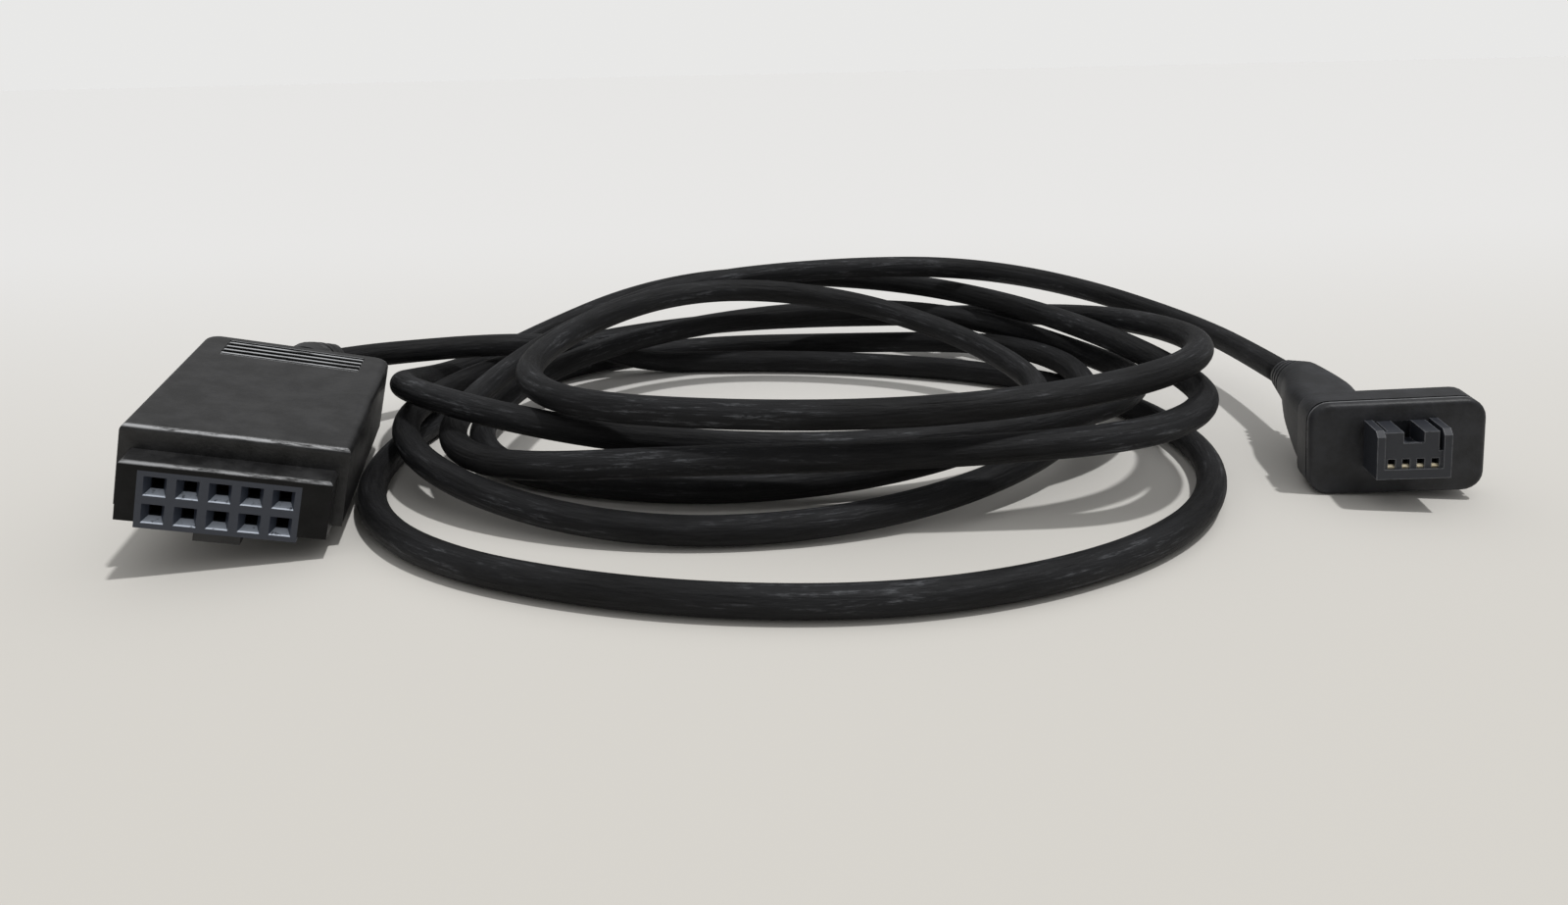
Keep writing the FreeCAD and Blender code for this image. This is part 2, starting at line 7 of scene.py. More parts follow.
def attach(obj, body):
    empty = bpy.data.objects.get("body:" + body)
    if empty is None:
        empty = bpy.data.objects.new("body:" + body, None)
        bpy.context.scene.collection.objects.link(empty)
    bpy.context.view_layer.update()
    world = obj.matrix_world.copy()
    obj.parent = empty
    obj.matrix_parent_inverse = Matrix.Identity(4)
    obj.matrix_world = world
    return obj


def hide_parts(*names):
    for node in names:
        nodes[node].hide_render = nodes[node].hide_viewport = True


# Looks of the data cable: camera, the cable as one bending cord, the plug's and the boot's
# smooth shapes, materials, floor and lights. Lengths are in millimetres, as in the part's
# source, and MM turns them into metres. Colours are linear values.

MM = 0.001

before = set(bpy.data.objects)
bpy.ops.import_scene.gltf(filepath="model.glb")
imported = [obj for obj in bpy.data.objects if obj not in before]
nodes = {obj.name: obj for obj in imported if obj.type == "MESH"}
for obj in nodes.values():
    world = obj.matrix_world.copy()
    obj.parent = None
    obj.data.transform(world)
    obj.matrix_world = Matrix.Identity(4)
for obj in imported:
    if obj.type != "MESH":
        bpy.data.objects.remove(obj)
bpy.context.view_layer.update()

# Camera of the photograph
IMAGE_WIDTH = 1600
IMAGE_HEIGHT = 923
FOCAL_PIXELS = 1109
OPTICAL_ROW = 323                    # the axis of view lies above the picture's middle
SENSOR = 36.0
CLIP_START, CLIP_END = 5.0, 20000.0
EYE = (-1.5, -101.8, 43.7)           # worked out from the socket's grid of holes
LOOK_DOWN = math.radians(14.16)
ROLL = math.radians(-1.28)

# Where the two plugs lie, as in the part's source
HOOD_AT = (-50.5, -14.9, 6.0)
HOOD_TURN = (11.6, 2.5, 13.5)
PLUG_AT = (56.5, -5.0, 5.035)
PLUG_TURN = (-8.4, 0.0, -4.3)

# Sizes of the two plugs that the paints follow, in each plug's own axes
PITCH = 2.54
LEAD_IN = 0.8
HOOD_SHOULDER = 2.6
HOOD_TOP = 5.6
NOSE_TOP = 3.4
GRIP_FRONT, GRIP_REAR = 22.9, 27.3
GRIP_LEFT, GRIP_RIGHT = -6.35, 7.25
SEAM_BACK = 1.0

# The cable: its sizes and its route from the hood to the plug. The route is the part's own,
# with some points moved to where the photograph shows the cable. Each turn of the
# coil is four stations: right, front, left and rear. A fourth number is the slope there.
CABLE_D = 2.8
BOOT_BEND = ((1.0, 27.6, 2.6), (1.0, 30.6, 2.6), (3.2, 34.2, 2.4))      # in the same axes
TURNS = (
    ((41.9, 6.5, 1.5), (2.5, -25.5, 1.5), (-44.35, 6.5, 1.5), (-7.5, 49.5, 1.5)),
    ((33.5, 21.0, 4.9), (-7.5, -12.5, 1.5), (-43.2, 14.0, 4.8, -0.05), (2.5, 56.0, 3.6)),
    ((42.0, 10.0, 12.3, 0.1), (4.5, -10.5, 11.55), (-28.8, 10.0, 10.9),
     (-4.0, 37.0, 12.3, -0.08)),
    ((27.0, 15.5, 5.5), (-7.5, -3.0, 1.5), (-36.0, 16.0, 2.5, 0.08), (9.0, 46.5, 7.12)),
    ((38.8, 20.0, 5.35, 0.13), (1.5, -5.8, 6.75), (-46.2, 22.2, 5.6, -0.32), (-5.5, 57.0, 10.05)),
    ((40.6, 3.5, 9.0, 0.03), (2.5, -9.7, 7.3), (-36.8, 8.0, 5.6, 0.06), (-3.0, 41.9, 13.5)),
)
HEADINGS = ((0, -1, 0), (-1, 0, 0), (0, 1, 0), (1, 0, 0))
COIL_START = (-11.5, 41.5, 1.5)
COIL_START_WAY = (1, 0, 0)
HOOD_STRETCH = ((-50.4, 23.2, 8.6), (-46.4, 26.8, 8.0), (-41.6, 30.0, 7.5), (-36.0, 32.2, 7.05),
                (-31.2, 36.8, 5.6), (-26.5, 40.8, 3.7), (-19.5, 41.5, 1.5))
PLUG_STRETCH = ((9.0, 42.8, 13.9), (20.5, 44.5, 13.4), (32.0, 48.0, 11.2), (42.5, 49.0, 8.4),
                (49.5, 43.5, 6.7), (53.5, 34.0, 6.1), (54.5, 23.5, 6.2))
NECK_TIP = (54.1, 13.2, 6.7)
STEPS_PER_ARC = 3
LINE_STEPS = 8
TUBE_SIDES = 24
CABLE_PLACE = "cable_place"          # the mesh attribute that the cable's paint follows

# The moulded plug: block, arm and neck
PLUG_WIDTH, PLUG_HEIGHT, PLUG_DEPTH = 15.6, 9.2, 4.4
PLUG_CORNER, PLUG_EDGE, SEAM = 1.9, 0.5, 0.3
RIM_STEPS = ((0.0, 1.0), (0.12, 0.55), (0.4, 0.2), (1.0, 0.0))      # back and in, of PLUG_EDGE
ARM_WIDTH = 6.4                      # where it leaves the block
ARM_HALFWAY = 9.0                    # from the block's face to the arm's middle section
ARM_WAIST, ARM_HEIGHT, ARM_LEVEL = 6.6, 6.0, 1.3                # of that section
NECK_D, NECK_TIP_D, NECK_LENGTH = 5.2, 3.5, 4.0
NECK_GROOVES = (0.9, 2.0, 3.1)       # from the neck's root
GROOVE_EDGE, GROOVE_FLOOR, GROOVE_DEPTH = 0.28, 0.14, 0.32      # half widths, then the depth
CORNER_STEPS = 6
ARM_STEPS = 6
SHARP_ANGLE = 40                     # in degrees; flatter edges are shaded smooth

# The boot behind the hood, ring by ring: run of the cable from its start, radius
BOOT_RINGS = ((1.0, 3.0), (3.0, 2.95), (3.2, 2.6), (3.5, 2.6), (3.7, 2.8), (4.3, 2.65),
              (4.5, 2.3), (4.8, 2.3), (5.0, 2.5), (5.6, 2.35), (5.8, 2.0), (6.1, 2.0),
              (6.3, 2.2), (7.1, 2.0), (7.5, 1.6))


def turned(turns):
    """Rotation of a plug: about its own Y, then X, then Z, in degrees."""
    yaw, pitch, roll = (math.radians(a) for a in turns)
    return (Matrix.Rotation(yaw, 3, "Z") @ Matrix.Rotation(pitch, 3, "X")
            @ Matrix.Rotation(roll, 3, "Y"))


def placed(at, turns, point):
    """A point in a plug's own axes, in the part's axes."""
    return Vector(at) + turned(turns) @ Vector(point)


def add_camera():
    data = bpy.data.cameras.new("camera")
    data.sensor_width = SENSOR
    data.lens = FOCAL_PIXELS / IMAGE_WIDTH * SENSOR
    data.shift_y = (OPTICAL_ROW - IMAGE_HEIGHT / 2) / IMAGE_WIDTH
    data.clip_start = CLIP_START * MM
    data.clip_end = CLIP_END * MM
    level = Vector((1, 0, 0))
    upright = Vector((0, math.sin(LOOK_DOWN), math.cos(LOOK_DOWN)))
    ahead = Vector((0, math.cos(LOOK_DOWN), -math.sin(LOOK_DOWN)))
    right = level * math.cos(ROLL) + upright * math.sin(ROLL)
    up = upright * math.cos(ROLL) - level * math.sin(ROLL)
    camera = bpy.data.objects.new("camera", data)
    pose = Matrix((right, up, -ahead)).transposed().to_4x4()
    pose.translation = Vector(EYE) * MM
    camera.matrix_world = pose
    bpy.context.scene.collection.objects.link(camera)
    bpy.context.scene.camera = camera


# Cable
def arc_points(start, way, end, count):
    """Points along the circular arc that leaves start along way and ends at end."""
    chord = end - start
    across = (chord - way * chord.dot(way)).normalized()
    radius = chord.length_squared / (2 * chord.dot(across))
    swing = 2 * math.atan2(chord.dot(across), chord.dot(way))
    centre = start + across * radius
    points = []
    for step in range(count + 1):
        angle = swing * step / count
        points.append(centre - across * (radius * math.cos(angle))
                      + way * (radius * math.sin(angle)))
    return points


def quarter_turn(start, way0, end, way1):
    """Points on two arcs from one station of the coil to the next, the last one left out."""
    gap = end - start
    both = way0 + way1
    spread = 2 * (1 - way0.dot(way1))
    along = gap.dot(both)
    reach = (-along + math.sqrt(along ** 2 + spread * gap.length_squared)) / spread
    joint = (start + end + (way0 - way1) * reach) / 2
    first = arc_points(start, way0, joint, STEPS_PER_ARC)
    second = arc_points(end, -way1, joint, STEPS_PER_ARC)
    return first[:-1] + second[:0:-1]


def coil_points():
    """The six turns, quarter by quarter."""
    stations = [(Vector(COIL_START), Vector(COIL_START_WAY))]
    for turn in TURNS:
        for place, heading in zip(turn, HEADINGS):
            way = Vector(heading)
            if len(place) == 4:
                way.z = place[3]
            stations.append((Vector(place[:3]), way.normalized()))
    end = stations[-1][0]
    stations[-1] = (end, (Vector(PLUG_STRETCH[0]) - end).normalized())
    points = []
    for (start, way0), (stop, way1) in zip(stations, stations[1:]):
        points += quarter_turn(start, way0, stop, way1)
    return points + [end]


def smooth_line(route):
    """The points that the route's NURBS spline is drawn with, in metres."""
    data = bpy.data.curves.new("cable_route", "CURVE")
    data.dimensions = "3D"
    data.resolution_u = LINE_STEPS
    spline = data.splines.new("NURBS")
    spline.points.add(len(route) - 1)
    for point, place in zip(spline.points, route):
        point.co = (*(place * MM), 1.0)
    spline.order_u = 3
    spline.use_endpoint_u = True
    holder = bpy.data.objects.new("cable_route", data)
    bpy.context.scene.collection.objects.link(holder)
    drawn = bpy.data.meshes.new_from_object(holder)
    line = [vertex.co.copy() for vertex in drawn.vertices]
    bpy.data.meshes.remove(drawn)
    bpy.data.objects.remove(holder)
    bpy.data.curves.remove(data)
    return line


def tube_mesh(name, line, radius):
    """A closed tube along a line. Each point keeps its place on the unrolled cable."""
    corners, places, faces = [], [], []
    side = (line[1] - line[0]).orthogonal()
    run = 0.0
    for index, centre in enumerate(line):
        before, after = line[max(index - 1, 0)], line[min(index + 1, len(line) - 1)]
        ahead = (after - before).normalized()
        side = (side - ahead * side.dot(ahead)).normalized()
        up = ahead.cross(side)
        run += (centre - before).length
        for step in range(TUBE_SIDES):
            angle = math.tau * step / TUBE_SIDES
            out = side * math.cos(angle) + up * math.sin(angle)
            corners.append(centre + out * radius)
            places.append((run / MM, radius / MM * math.cos(angle), radius / MM * math.sin(angle)))
    for index in range(len(line) - 1):
        low, high = index * TUBE_SIDES, (index + 1) * TUBE_SIDES
        for step in range(TUBE_SIDES):
            following = (step + 1) % TUBE_SIDES
            faces.append((low + step, low + following, high + following, high + step))
    last = (len(line) - 1) * TUBE_SIDES
    faces.append(tuple(reversed(range(TUBE_SIDES))))
    faces.append(tuple(range(last, last + TUBE_SIDES)))
    mesh = bpy.data.meshes.new(name)
    mesh.from_pydata(corners, [], faces)
    mesh.polygons.foreach_set("use_smooth", [len(face) == 4 for face in faces])
    kept = mesh.attributes.new(CABLE_PLACE, "FLOAT_VECTOR", "POINT")
    kept.data.foreach_set("vector", [value for place in places for value in place])
    mesh.update()
    return mesh


def add_cable():
    route = [placed(HOOD_AT, HOOD_TURN, point) for point in BOOT_BEND]
    route += [Vector(p) for p in HOOD_STRETCH]
    route += coil_points()
    route += [Vector(p) for p in PLUG_STRETCH] + [Vector(NECK_TIP)]
    line = smooth_line(route)
    cable = bpy.data.objects.new("cable", tube_mesh("cable", line, CABLE_D / 2 * MM))
    bpy.context.scene.collection.objects.link(cable)
    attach(cable, "root")
    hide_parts("cable_hood_stretch", "cable_coil", "cable_plug_stretch")
    return cable, line


# Shapes that stand for a CAD node
def rounded_section(width, height, corner, y, x_mid=0.0, z_mid=0.0):
    """A rounded rectangle that faces along the plug's own Y, placed with the plug."""
    points = []
    for side, level, start in ((1, 1, 0), (-1, 1, 1), (-1, -1, 2), (1, -1, 3)):
        for step in range(CORNER_STEPS + 1):
            angle = (start + step / CORNER_STEPS) * math.pi / 2
            x = x_mid + side * (width / 2 - corner) + corner * math.cos(angle)
            z = z_mid + level * (height / 2 - corner) + corner * math.sin(angle)
            points.append(placed(PLUG_AT, PLUG_TURN, (x, y, z)))
    return points


def ring(centre, way, right, radius):
    """A circle across a direction, with as many points as a rounded section."""
    side = (right - way * right.dot(way)).normalized()
    up = side.cross(way)
    count = 4 * (CORNER_STEPS + 1)
    angles = [math.tau * (step + 0.5) / count for step in range(count)]
    return [centre + (side * math.cos(a) + up * math.sin(a)) * radius for a in angles]


def blend(first, second, way0, way1, share):
    """Point by point between two sections, leaving and arriving along the given ways."""
    bend0 = share * (1 - share) ** 2
    bend1 = -share ** 2 * (1 - share)
    even = share * share * (3 - 2 * share)
    return [a.lerp(b, even) + u * bend0 + v * bend1
            for a, b, u, v in zip(first, second, way0, way1)]


def skinned(name, shells):
    """One mesh of closed shells, each a run of sections with the same count of points."""
    corners, faces = [], []
    for sections in shells:
        count = len(sections[0])
        base = len(corners)
        for index, section in enumerate(sections):
            corners += [point * MM for point in section]
            if index == 0:
                continue
            low, high = base + (index - 1) * count, base + index * count
            for step in range(count):
                after = (step + 1) % count
                faces.append((low + step, high + step, high + after, low + after))
        last = base + (len(sections) - 1) * count
        faces.append(tuple(range(base, base + count)))
        faces.append(tuple(reversed(range(last, last + count))))
    mesh = bpy.data.meshes.new(name)
    mesh.from_pydata(corners, [], faces)
    mesh.polygons.foreach_set("use_smooth", [True] * len(faces))
    mesh.set_sharp_from_angle(angle=math.radians(SHARP_ANGLE))
    mesh.update()
    piece = bpy.data.objects.new(name, mesh)
    bpy.context.scene.collection.objects.link(piece)
    return piece


def add_plug_body():
    """Moulded block with a parting groove, drawn out at its rear left into the ribbed neck."""
    turn = turned(PLUG_TURN)
    front = [(PLUG_EDGE * back, PLUG_EDGE * inset) for back, inset in RIM_STEPS]
    groove = [(SEAM_BACK, 0.0), (SEAM_BACK, SEAM), (SEAM_BACK + SEAM, SEAM),
              (SEAM_BACK + SEAM, 0.0)]
    rear = [(PLUG_DEPTH - back, inset) for back, inset in reversed(front)]
    block = [rounded_section(PLUG_WIDTH - 2 * inset, PLUG_HEIGHT - 2 * inset,
                             PLUG_CORNER - inset, y) for y, inset in front + groove + rear]
    left = -PLUG_WIDTH / 2 + PLUG_EDGE / 2
    arm_root = rounded_section(ARM_WIDTH, PLUG_HEIGHT - 2 * PLUG_EDGE, PLUG_CORNER,
                               PLUG_DEPTH - PLUG_EDGE, left + ARM_WIDTH / 2)
    waist = rounded_section(ARM_WAIST, ARM_HEIGHT, PLUG_CORNER, ARM_HALFWAY,
                            left + ARM_WAIST / 2, ARM_LEVEL)
    tip = Vector(NECK_TIP)
    way = (Vector(PLUG_STRETCH[-1]) - tip).normalized()     # the cable leaves the neck this way
    right = turn @ Vector((1, 0, 0))
    root = tip - way * NECK_LENGTH
    neck_root = ring(root, way, right, NECK_D / 2)
    straight = [turn @ Vector((0, ARM_HALFWAY - PLUG_DEPTH, 0))] * len(waist)
    across = [(b - a) / 2 for a, b in zip(arm_root, neck_root)]
    onward = [way * NECK_LENGTH] * len(waist)
    shares = [step / ARM_STEPS for step in range(ARM_STEPS)]
    arm = [blend(arm_root, waist, straight, across, share) for share in shares]
    arm += [blend(waist, neck_root, across, onward, share) for share in shares]
    slope = (NECK_D - NECK_TIP_D) / 2 / NECK_LENGTH
    stops = [(0.0, 0.0)]             # along the neck, depth of the cut
    for middle in NECK_GROOVES:
        stops += [(middle - GROOVE_EDGE, 0.0), (middle - GROOVE_FLOOR, GROOVE_DEPTH),
                  (middle + GROOVE_FLOOR, GROOVE_DEPTH), (middle + GROOVE_EDGE, 0.0)]
    stops.append((NECK_LENGTH, 0.0))
    neck = [ring(root + way * far, way, right, NECK_D / 2 - slope * far - cut)
            for far, cut in stops]
    body = skinned("plug_body", [block, arm + neck])
    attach(body, "root")
    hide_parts("gauge_plug_body")
    return body


def on_line(line, far):
    """Place on a line at a run from its start, and the way it goes there, in millimetres."""
    run = 0.0
    for before, after in zip(line, line[1:]):
        step = (after - before).length / MM
        if run + step >= far:
            break
        run += step
    way = (after - before).normalized()
    return before / MM + way * (far - run), way


def add_boot(line):
    """Grooved strain relief behind the hood; it bends with the cable."""
    right = turned(HOOD_TURN) @ Vector((1, 0, 0))
    rings = []
    for far, radius in BOOT_RINGS:
        centre, way = on_line(line, far)
        rings.append(ring(centre, way, right, radius))
    sleeve = skinned("strain_relief", [rings])
    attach(sleeve, "root")
    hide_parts("host_cable_boot")
    return sleeve


# Materials: colours, from dark to pale, then worn, painted highlights and painted shade, and the
# places that the paints follow
CABLE_BLACK, CABLE_DARK = (0.006, 0.006, 0.0062), (0.0152, 0.0152, 0.0158)
CABLE_DUST, CABLE_WORN = (0.0185, 0.0188, 0.0202), (0.095, 0.098, 0.105)
HOOD_DARK, HOOD_PALE = (0.0055, 0.0055, 0.0058), (0.0255, 0.0255, 0.0262)
HOOD_EDGE_WEAR_AND_HIGHLIGHT, HOOD_PAINTED_SHADE, GRIP_PAINTED_GLINT = (0.62, 0.63, 0.65), (0.002, 0.002, 0.002), (0.42, 0.43, 0.44)
BLOCK_DARK, BLOCK_PALE = (0.022, 0.0275, 0.041), (0.035, 0.042, 0.060)
BLOCK_LEAD_IN_HIGHLIGHT, BLOCK_HOLE_SHADE = (0.44, 0.485, 0.56), (0.008, 0.009, 0.011)
PLUG_DARK, PLUG_PALE = (0.0105, 0.011, 0.0125), (0.0275, 0.0285, 0.0325)
PLUG_RIM_DUST_AND_HIGHLIGHT, PLUG_SEAM_HIGHLIGHT = (0.055, 0.057, 0.062), (0.16, 0.162, 0.168)
NOSE_DARK, NOSE_PALE, NOSE_WORN = (0.018, 0.020, 0.026), (0.029, 0.032, 0.040), (0.19, 0.195, 0.21)
SOCKET_GILT = (0.16, 0.12, 0.06), (0.25, 0.19, 0.10)
BLADE_GILT = (0.80, 0.66, 0.40), (0.90, 0.84, 0.68)
HOOD_SPECULAR = 0.4
FACE_MARGIN, GRIP_MARGIN = 0.05, 0.10
FRONT_START, FRONT_SHADE_SHARE = -1.0, 0.7      # the hood's front face is darkened by painted shade at this share
BEVEL_SAMPLES = 6


class Paint:
    """A material under construction, with short calls for its nodes."""

    def __init__(self, name, roughness, metallic=0.0, specular=0.5):
        self.material = bpy.data.materials.new(name)
        self.material.use_nodes = True
        self.tree = self.material.node_tree
        self.shader = self.tree.nodes["Principled BSDF"]
        self.shader.inputs["Roughness"].default_value = roughness
        self.shader.inputs["Metallic"].default_value = metallic
        self.shader.inputs["Specular IOR Level"].default_value = specular
        self.texture = self.add("ShaderNodeTexCoord")

    def add(self, kind, **settings):
        node = self.tree.nodes.new(kind)
        for key, value in settings.items():
            setattr(node, key, value)
        return node

    def join(self, source, target):
        self.tree.links.new(source, target)

    def math(self, operation, first, second=None):
        node = self.add("ShaderNodeMath", operation=operation)
        for socket, value in zip(node.inputs, (first, second)):
            if value is None:
                continue
            if isinstance(value, (int, float)):
                socket.default_value = value
            else:
                self.join(value, socket)
        return node.outputs[0]

    def attribute(self, name):
        return self.add("ShaderNodeAttribute", attribute_name=name).outputs["Vector"]

    def object_mm(self):
        """Place on the object, in millimetres."""
        scale = self.add("ShaderNodeVectorMath", operation="SCALE")
        scale.inputs["Scale"].default_value = 1 / MM
        self.join(self.texture.outputs["Object"], scale.inputs[0])
        return scale.outputs[0]

    def local_mm(self, at, turns):
        """Place in a plug's own axes, in millimetres."""
        mapping = self.add("ShaderNodeMapping", vector_type="TEXTURE")
        mapping.inputs["Location"].default_value = Vector(at) * MM
        mapping.inputs["Rotation"].default_value = turned(turns).to_euler("XYZ")
        mapping.inputs["Scale"].default_value = (MM, MM, MM)
        self.join(self.texture.outputs["Object"], mapping.inputs["Vector"])
        return mapping.outputs[0]

    def split(self, vector):
        node = self.add("ShaderNodeSeparateXYZ")
        self.join(vector, node.inputs[0])
        return node.outputs

    def stretched(self, vector, scale):
        mapping = self.add("ShaderNodeMapping")
        mapping.inputs["Scale"].default_value = scale
        self.join(vector, mapping.inputs["Vector"])
        return mapping.outputs[0]

    def noise(self, vector, scale, detail, roughness=0.5):
        """Noise with one scale, or with a scale for each axis."""
        if isinstance(scale, tuple):
            vector, scale = self.stretched(vector, scale), 1.0
        node = self.add("ShaderNodeTexNoise")
        node.inputs["Scale"].default_value = scale
        node.inputs["Detail"].default_value = detail
        node.inputs["Roughness"].default_value = roughness
        self.join(vector, node.inputs["Vector"])
        return node.outputs["Fac"]

    def ramp(self, value, low, high):
        """A smooth step from 0 at low to 1 at high."""
        node = self.add("ShaderNodeMapRange", interpolation_type="SMOOTHSTEP")
        node.inputs["From Min"].default_value = low
        node.inputs["From Max"].default_value = high
        self.join(value, node.inputs["Value"])
        return node.outputs[0]

    def both(self, first, second):
        """The product, for two masks that have to hold together."""
        return self.math("MULTIPLY", first, second)

    def within(self, value, low, high):
        """1 where the value lies between two limits, 0 elsewhere."""
        return self.both(self.math("GREATER_THAN", value, low),
                         self.math("LESS_THAN", value, high))

    def near_edge(self, y, z, edge, full, none):
        """1 near an edge that runs along X through a place in Y and Z, fading to 0."""
        back = self.math("POWER", self.math("SUBTRACT", y, edge[0]), 2.0)
        rise = self.math("POWER", self.math("SUBTRACT", z, edge[1]), 2.0)
        return self.ramp(self.math("SQRT", self.math("ADD", back, rise)), none, full)

    def edges(self, reach, low, high):
        """1 where the surface turns sharply within the reach, in millimetres."""
        bevel = self.add("ShaderNodeBevel", samples=BEVEL_SAMPLES)
        bevel.inputs["Radius"].default_value = reach * MM
        cosine = self.add("ShaderNodeVectorMath", operation="DOT_PRODUCT")
        self.join(bevel.outputs[0], cosine.inputs[0])
        self.join(self.add("ShaderNodeNewGeometry").outputs["Normal"], cosine.inputs[1])
        return self.ramp(cosine.outputs["Value"], 1 - low, 1 - high)

    def mix(self, share, first, second):
        """A colour between two, each a tuple or another node's colour."""
        node = self.add("ShaderNodeMix", data_type="RGBA")
        self.join(share, node.inputs["Factor"])
        for socket, colour in zip((node.inputs[6], node.inputs[7]), (first, second)):
            if isinstance(colour, tuple):
                socket.default_value = (*colour, 1.0)
            else:
                self.join(colour, socket)
        return node.outputs[2]

    def colour(self, value):
        self.join(value, self.shader.inputs["Base Color"])

    def vary(self, socket, value, low, high):
        """Lets a shader value run from low to high with a value from 0 to 1."""
        node = self.add("ShaderNodeMapRange")
        node.inputs["To Min"].default_value = low
        node.inputs["To Max"].default_value = high
        self.join(value, node.inputs["Value"])
        self.join(node.outputs[0], self.shader.inputs[socket])

    def bump(self, height, depth, after=None):
        """Adds relief of the given depth in millimetres."""
        node = self.add("ShaderNodeBump")
        node.inputs["Distance"].default_value = depth * MM
        node.inputs["Strength"].default_value = 1.0
        self.join(height, node.inputs["Height"])
        if after is not None:
            self.join(after, node.inputs["Normal"])
        self.join(node.outputs[0], self.shader.inputs["Normal"])
        return node.outputs[0]


def cable_paint():
    """Matt soft plastic with faint lengthways wrinkles and pale scuffs where turns have rubbed."""
    paint = Paint("cable_jacket", roughness=0.5, specular=0.10)
    along = paint.attribute(CABLE_PLACE)
    wrinkles = paint.noise(along, (0.12, 1.5, 1.5), 4.0, 0.6)
    fine = paint.noise(along, (1.0, 4.5, 4.5), 4.0, 0.65)
    patches = paint.noise(along, (0.045, 0.22, 0.22), 3.0, 0.6)
    marks = paint.noise(along, (0.22, 2.2, 2.2), 5.0, 0.72)
    scuffs = paint.both(paint.ramp(marks, 0.50, 0.70), paint.ramp(patches, 0.46, 0.62))
    worn = paint.both(scuffs, paint.ramp(fine, 0.36, 0.60))
    dust = paint.mix(paint.ramp(marks, 0.3, 0.7), CABLE_BLACK, CABLE_DARK)
    base = paint.mix(paint.ramp(patches, 0.35, 0.7), dust, CABLE_DUST)
    paint.colour(paint.mix(worn, base, CABLE_WORN))
    paint.vary("Roughness", fine, 0.42, 0.68)
    paint.bump(fine, 0.06, paint.bump(wrinkles, 0.22))
    return paint.material


def hood_paint():
    """Satin plastic: wear and painted highlight on the front edges, painted glints and shade on
    the grip, painted shade on the front face.
    """
    paint = Paint("hood_plastic", roughness=0.4, specular=HOOD_SPECULAR)
    place = paint.local_mm(HOOD_AT, HOOD_TURN)
    x, y, z = paint.split(place)
    grain = paint.noise(place, 3.5, 4.0)
    patches = paint.noise(place, 0.32, 5.0, 0.66)
    streaks = paint.noise(place, (0.35, 3.0, 3.0), 5.0, 0.7)
    base = paint.mix(paint.ramp(patches, 0.3, 0.7), HOOD_DARK, HOOD_PALE)
    # painted shade: the hood's front face is mixed towards the near-black shade colour
    front = paint.both(paint.within(y, FRONT_START, FACE_MARGIN), FRONT_SHADE_SHARE)
    base = paint.mix(front, base, HOOD_PAINTED_SHADE)
    # wear and painted highlight: the shoulder's and the nose's top edges are streaked pale, partly
    # for wear and partly for the light these rounded edges catch
    worn = paint.math("MAXIMUM", paint.near_edge(y, z, (HOOD_SHOULDER, HOOD_TOP), 0.22, 0.40),
                      paint.near_edge(y, z, (0.0, NOSE_TOP), 0.10, 0.32))
    base = paint.mix(paint.both(worn, paint.ramp(streaks, 0.38, 0.54)), base, HOOD_EDGE_WEAR_AND_HIGHLIGHT)
    grip = paint.both(paint.within(y, GRIP_FRONT - FACE_MARGIN, GRIP_REAR + FACE_MARGIN),
                      paint.within(x, GRIP_LEFT + GRIP_MARGIN, GRIP_RIGHT - GRIP_MARGIN))
    crest = paint.both(grip, paint.ramp(z, HOOD_TOP - 0.06, HOOD_TOP - 0.01))
    # painted shade: the grip's pits between the ribs are darkened to the near-black shade colour
    pit_shade = paint.both(grip, paint.ramp(z, HOOD_TOP - 0.01, HOOD_TOP - 0.07))
    base = paint.mix(pit_shade, base, HOOD_PAINTED_SHADE)
    # painted highlight: thin pale glints on the ribs' crests
    painted_glint = paint.both(crest, paint.ramp(streaks, 0.28, 0.5))
    paint.colour(paint.mix(painted_glint, base, GRIP_PAINTED_GLINT))
    paint.vary("Roughness", patches, 0.30, 0.56)
    paint.vary("Specular IOR Level", paint.math("MAXIMUM", pit_shade, front), HOOD_SPECULAR, 0.04)
    paint.bump(grain, 0.012, paint.bump(patches, 0.10))
    return paint.material


def block_paint():
    """Slate plastic; painted highlight on the lower lead-ins, painted shade in the holes beyond
    them.
    """
    paint = Paint("socket_plastic", roughness=0.4, specular=0.5)
    place = paint.local_mm(HOOD_AT, HOOD_TURN)
    x, y, z = paint.split(place)
    grain = paint.noise(place, 2.2, 4.0)
    base = paint.mix(grain, BLOCK_DARK, BLOCK_PALE)
    # painted highlight: the lower chamfer of each lead-in is painted pale, for the light it
    # catches
    across = paint.math("PINGPONG", x, PITCH / 2)
    down = paint.math("SUBTRACT", PITCH / 2, paint.math("FLOORED_MODULO", z, PITCH))
    lower = paint.both(paint.math("GREATER_THAN", down, across),
                       paint.within(y, 0.02, LEAD_IN))
    # painted shade: the holes darken beyond their lead-ins
    hole_shade = paint.ramp(y, LEAD_IN - FACE_MARGIN, LEAD_IN + 0.3)
    base = paint.mix(paint.both(lower, paint.ramp(grain, 0.24, 0.44)), base, BLOCK_LEAD_IN_HIGHLIGHT)
    paint.colour(paint.mix(hole_shade, base, BLOCK_HOLE_SHADE))
    paint.vary("Roughness", grain, 0.33, 0.5)
    paint.bump(grain, 0.015)
    return paint.material


